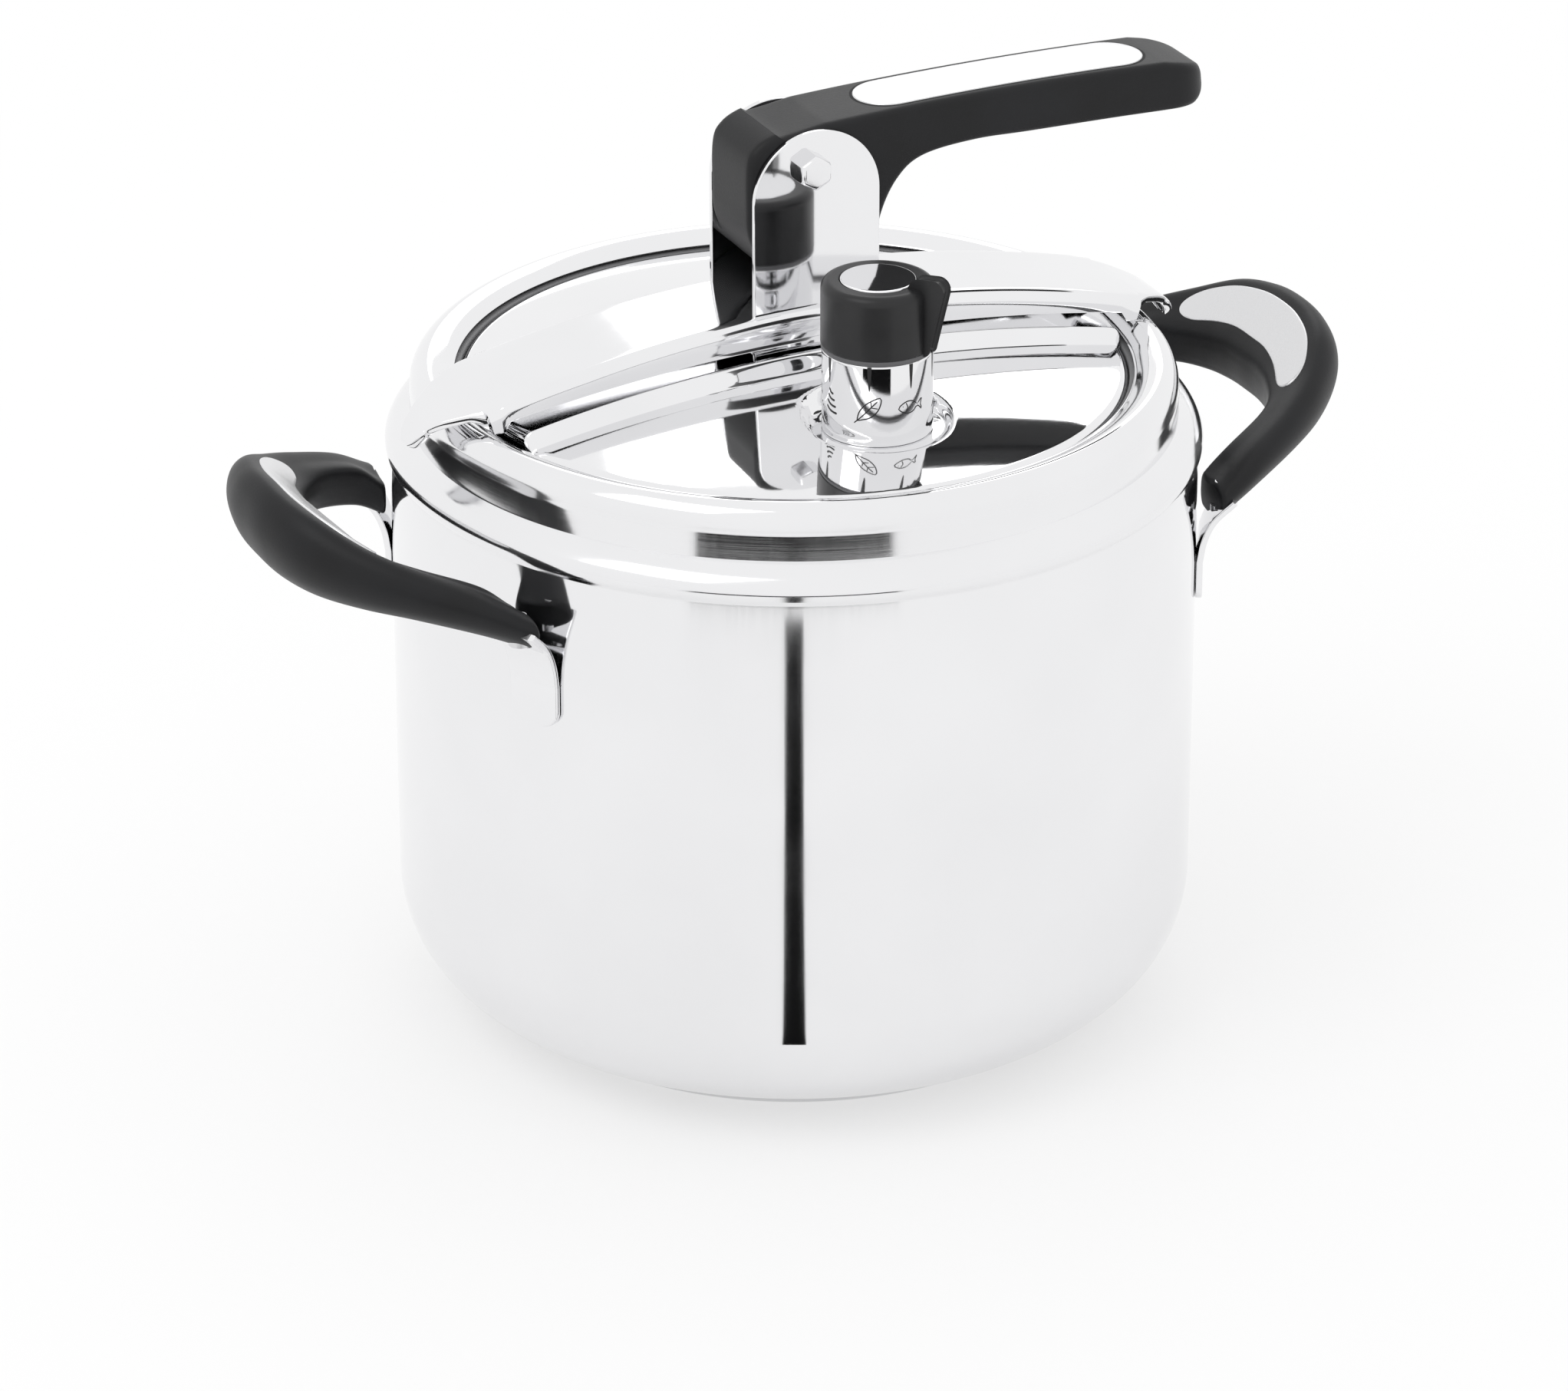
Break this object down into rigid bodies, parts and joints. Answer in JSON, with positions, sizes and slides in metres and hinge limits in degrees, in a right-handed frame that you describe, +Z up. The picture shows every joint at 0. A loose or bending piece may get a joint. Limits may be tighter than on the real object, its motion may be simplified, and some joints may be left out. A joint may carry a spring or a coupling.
{
  "type": "pressure cooker",
  "caption": "Stovetop pressure cooker: steel pot, inside lid drawn up against the rim by a cam lever on an arched bridge, control knob, two loop handles.",
  "frame": {"origin": "centre of the flat underside of the base", "axes": "+Z up; X runs through both side handles, the bridge and the lever, with the lever's free end at +X; the control knob is on the -Y side"},
  "size_m": [0.3202, 0.2226, 0.2593],
  "materials": {
    "pot_steel": "mirror polished stainless steel",
    "aluminium_core": "sealed inside the base",
    "base_steel": "satin stainless steel",
    "bridge_steel": "mirror polished stainless steel",
    "black_handle": "satin black heat-resistant plastic",
    "inlay_steel": "satin polished stainless steel",
    "tab_steel": "polished stainless steel",
    "screw_steel": "plain stainless steel",
    "lid_steel": "mirror polished stainless steel",
    "gasket_rubber": "grey silicone rubber",
    "bolt_chrome": "bright hexagon bolt and nut",
    "valve_steel": "turned and polished stainless steel",
    "spring_steel": "spring wire",
    "cap_black": "smooth black plastic",
    "ring_grey": "grey plastic"
  },
  "bodies": {
    "pot": {"pot_body": "pot_steel", "base_core": "aluminium_core", "base_cap": "base_steel", "bridge": "bridge_steel", "left_handle": "black_handle", "left_handle_inlay": "inlay_steel", "left_handle_tab_front": "tab_steel", "left_handle_tab_rear": "tab_steel", "left_handle_screw_front": "screw_steel", "left_handle_screw_rear": "screw_steel", "right_handle": "black_handle", "right_handle_inlay": "inlay_steel", "right_handle_tab_front": "tab_steel", "right_handle_tab_rear": "tab_steel", "right_handle_screw_front": "screw_steel", "right_handle_screw_rear": "screw_steel"},
    "lid": {"lid_panel": "lid_steel", "gasket": "gasket_rubber", "bracket": "lid_steel", "pivot_bolt": "bolt_chrome", "pivot_nut": "bolt_chrome", "valve_body": "valve_steel", "valve_seal": "gasket_rubber", "valve_nut": "valve_steel", "safety_body": "valve_steel", "safety_seal": "gasket_rubber", "safety_nut": "valve_steel"},
    "lever": {"lever": "black_handle", "lever_inlay": "inlay_steel"},
    "knob": {"valve_cap": "cap_black", "cap_disc": "valve_steel", "cap_ring": "ring_grey"},
    "poppet": {"poppet": "valve_steel", "valve_spring": "spring_steel"},
    "safety_pin": {"safety_pin": "valve_steel"}
  },
  "joints": [
    {"name": "lid_drop", "type": "slide", "parent": "pot", "child": "lid", "axis": [0, 0, -1], "range_m": [0, 0.0215]},
    {"name": "lever_lift", "type": "hinge", "parent": "lid", "child": "lever", "pos_m": [-0.002, 0, 0.246], "axis": [0, -1, 0], "range_deg": [0, 90]},
    {"name": "knob_turn", "type": "hinge", "parent": "lid", "child": "knob", "pos_m": [0, -0.052, 0.209], "axis": [0, 0, 1], "range_deg": [-118.5, 15]},
    {"name": "poppet_lift", "type": "slide", "parent": "lid", "child": "poppet", "axis": [0, 0, 1], "range_m": [0, 0.0015], "stiffness_N_per_m": 1500, "springref_m": -0.002, "deforming": ["valve_spring"]},
    {"name": "safety_pin_lift", "type": "slide", "parent": "lid", "child": "safety_pin", "axis": [0, 0, 1], "range_m": [0, 0.002]}
  ],
  "couplings": [
    {"joint": "lid_drop", "follows": "lever_lift", "m_per_rad": 0.013687}
  ]
}
